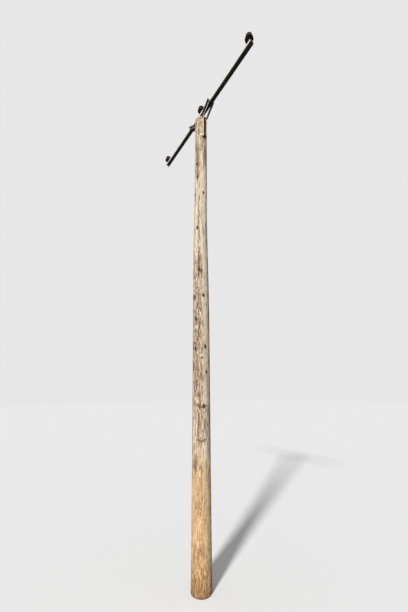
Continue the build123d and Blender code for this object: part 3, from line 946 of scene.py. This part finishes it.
def build_insulators():
    """Turned porcelain bodies. The crown's points are lowered to a round-bottomed groove that crosses it, its
    walls rolled over at the lip, and each body is slightly out of true, as fired ware is."""
    outline = rounded(insulator_outline)
    socket = np.column_stack((np.linspace(0.0006, outline[0, 0], 6)[:-1], np.full(5, outline[0, 1])))
    crown_face = np.column_stack((np.linspace(outline[-2, 0], 0.0004, 22)[1:], np.full(21, crown_top)))
    outline = np.concatenate((socket, outline[:-1], crown_face))
    aside, along = groove_outline()
    turn = np.arange(insulator_columns) * 2 * math.pi / insulator_columns
    direction = np.arctan2(np.gradient(outline[:, 1]), np.gradient(outline[:, 0]))
    turnings = np.abs(np.gradient(np.unwrap(direction)))
    for name in ("right_insulator", "middle_insulator", "left_insulator"):
        low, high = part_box(name)
        x0, y0 = (low.x + high.x) / 2, (low.y + high.y) / 2
        out = 1 - out_of_true * (0.5 + 0.5 * np.sin(2 * turn + rng.uniform(0, 6.3)))
        radius = outline[:, :1] * np.where(outline[:, :1] > 0.03, out, 1.0)
        x = radius * np.cos(turn)
        z = np.repeat(outline[:, 1:], insulator_columns, 1)
        crown = np.clip((z - crown_base) / (crown_top - crown_base), 0.0, 1.0)
        grooved = crown_base + (np.interp(np.abs(x), aside, along) - crown_base) * crown
        z = np.where(z > crown_base, grooved, z)
        lip = np.exp(-((np.abs(x) - groove_radius - groove_lip * 0.6) / 0.0022) ** 2) * (crown > 0.9)
        thin = np.maximum(np.clip(turnings * 2.2, 0, 1)[:, None] * (radius > 0.03), lip)
        surface = closed_rings(about(x0, y0, radius, turn, low.z + z))
        shape = Shape()
        shape.add(*surface, thin=np.concatenate((thin.ravel(), [0, 0])))
        piece = shape.object(name.replace("insulator", "porcelain"), [glaze])
        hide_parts(name)


# Bolts through the log, and those of the struts: diameter, length of thread, thread pitch and depth
log_bolt = (0.020, 0.062, 0.0025, 0.0014)
strut_bolt = (0.014, 0.030, 0.0020, 0.0011)
bolt_columns = 48
bolt_recess = 0.0001


def bolt_points(diameter, threaded, pitch, depth, full_length):
    """A bolt along +Z from its head: the six-sided head's corners are taken off by a cone, and past the plain
    shank the radius swings between root and crest once a turn, as a thread does."""
    turn = np.arange(bolt_columns) * 2 * math.pi / bolt_columns
    shank = diameter / 2 - bolt_recess
    head = diameter * 0.63
    flat = diameter * 0.75
    six_sided = flat / np.cos((turn + math.pi / 6) % (math.pi / 3) - math.pi / 6)
    cone = np.array([0.90, 1.02, 1.18, 1.18, 1.18, 1.10]) * flat
    head_heights = np.array([0.0, 0.04, 0.20, 0.5, 0.96, 1.0]) * head
    start = full_length - threaded
    plain = np.array([head, start - 0.001])
    steps = np.arange(0, threaded - 0.0008, pitch / 8) + start
    swing = 2 * np.abs((steps[:, None] / pitch - turn / (2 * math.pi)) % 1.0 - 0.5)
    grow = np.clip((steps - start) / 0.003, 0, 1)[:, None]
    ends = np.clip((full_length - steps) / 0.0022, 0.35, 1)[:, None]
    thread_radii = shank - depth * np.maximum((1 - swing) * grow, 1 - ends)
    heights = np.concatenate((head_heights, plain, steps, [full_length]))
    head_radii = np.minimum(cone[:, None], six_sided)
    radii = np.concatenate((head_radii, np.full((2, bolt_columns), shank), thread_radii,
                            np.full((1, bolt_columns), shank - depth - 0.0005)))
    return about(0, 0, radii, turn, np.repeat(heights[:, None], bolt_columns, 1))


def build_bolts():
    """The through bolts with real threads, set along their own axis where the frame's bolts lie."""
    for name in nodes:
        if not name.endswith("_bolt"):
            continue
        low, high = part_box(name)
        middle = (np.array(high) + np.array(low)) / 2
        lies_in_x = name.endswith("pole_bolt")
        axis = 0 if lies_in_x else 1
        points = bolt_points(*(log_bolt if lies_in_x else strut_bolt), high[axis] - low[axis])
        placed = np.empty_like(points)
        placed[..., axis] = low[axis] + points[..., 2]
        placed[..., 2] = middle[2] + points[..., 1 if lies_in_x else 0]
        placed[..., 1 - axis] = middle[1 - axis] + points[..., 0 if lies_in_x else 1]
        shape = Shape()
        shape.add(*closed_rings(placed))
        piece = shape.object(name.replace("bolt", "threaded_bolt"), [bolt_zinc])
        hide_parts(name)


build_log()
build_knots()
build_insulators()
build_bolts()


# Finishes of the frame's own pieces: the first whose words are in the name. The hidden log needs none.

own_finishes = (
    ("crossarm", arm_zinc), ("front_strut", front_strut_zinc), ("back_strut", shaded_back_strut_zinc),
    ("upper_saddle", upper_saddle_zinc), ("upper_pole_bolt_washers", upper_saddle_zinc),
    ("lower_saddle", saddle_zinc), ("lower_pole_bolt_washers", saddle_zinc),
    ("bolt", bolt_zinc), ("bracket", bracket_zinc), ("_pin", pin_zinc), ("insulator", glaze),
)
for name, piece in nodes.items():
    kinds = [kind for words, kind in own_finishes if words in name]
    if kinds:
        piece.data.materials.clear()
        piece.data.materials.append(kinds[0])


# Stage, light and camera

def build_stage():
    """A pale floor that keeps the pole's shadow and throws little light up, as a meadow would."""
    w = Finish("floor")
    colour = w.mix(w.seen(), (floor_bounce,) * 3, (floor_pale,) * 3)
    w.finish(Base_Color=colour, Roughness=1.0, Specular_IOR_Level=0.0)
    mesh = bpy.data.meshes.new("floor")
    side = floor_reach
    corners = [(-side, -side, 0), (side, -side, 0), (side, side, 0), (-side, side, 0)]
    mesh.from_pydata(corners, [], [(0, 1, 2, 3)])
    mesh.materials.append(w.material)
    floor = add_object("floor", mesh)


def build_light():
    """One soft key lamp and an even room, seen as a pale background."""
    lamp = bpy.data.lights.new("key", "SUN")
    lamp.energy = key_strength
    lamp.angle = math.radians(key_softness)
    x, y, z = key_towards
    add_object("key", lamp).rotation_euler = (math.acos(z), 0, math.atan2(-y, -x) - math.pi / 2)
    world = bpy.data.worlds.new("room")
    scene.world = world
    world.use_nodes = True
    room = Nodes(world.node_tree)
    levels = {"Value": room.seen(), "To Min": room_light, "To Max": background}
    sky = room.tree.nodes["Background"]
    room.put(sky.inputs["Color"], (1, 1, 1))
    room.put(sky.inputs["Strength"], room.node("ShaderNodeMapRange", levels).outputs[0])


def build_camera():
    """The photographer's place, close to the pole and looking up it with a wide lens."""
    place, look, rise, roll = np.radians((camera_bearing, look_bearing, look_up, look_roll))
    forward = np.array([-math.sin(look) * math.cos(rise), math.cos(look) * math.cos(rise), math.sin(rise)])
    level = np.array([math.cos(look), math.sin(look), 0.0])
    above = np.cross(level, forward)
    data = bpy.data.cameras.new("camera")
    data.lens = lens_mm
    data.sensor_width = sensor_mm
    matrix = np.eye(4)
    matrix[:3, 0] = level * math.cos(roll) + above * math.sin(roll)
    matrix[:3, 1] = above * math.cos(roll) - level * math.sin(roll)
    matrix[:3, 2] = -forward
    matrix[:3, 3] = (camera_distance * math.sin(place), -camera_distance * math.cos(place), camera_height)
    camera = add_object("camera", data)
    camera.matrix_world = matrix.T
    scene.camera = camera


build_stage()
build_light()
build_camera()
scene.view_settings.view_transform = "Standard"

bpy.context.view_layer.update()
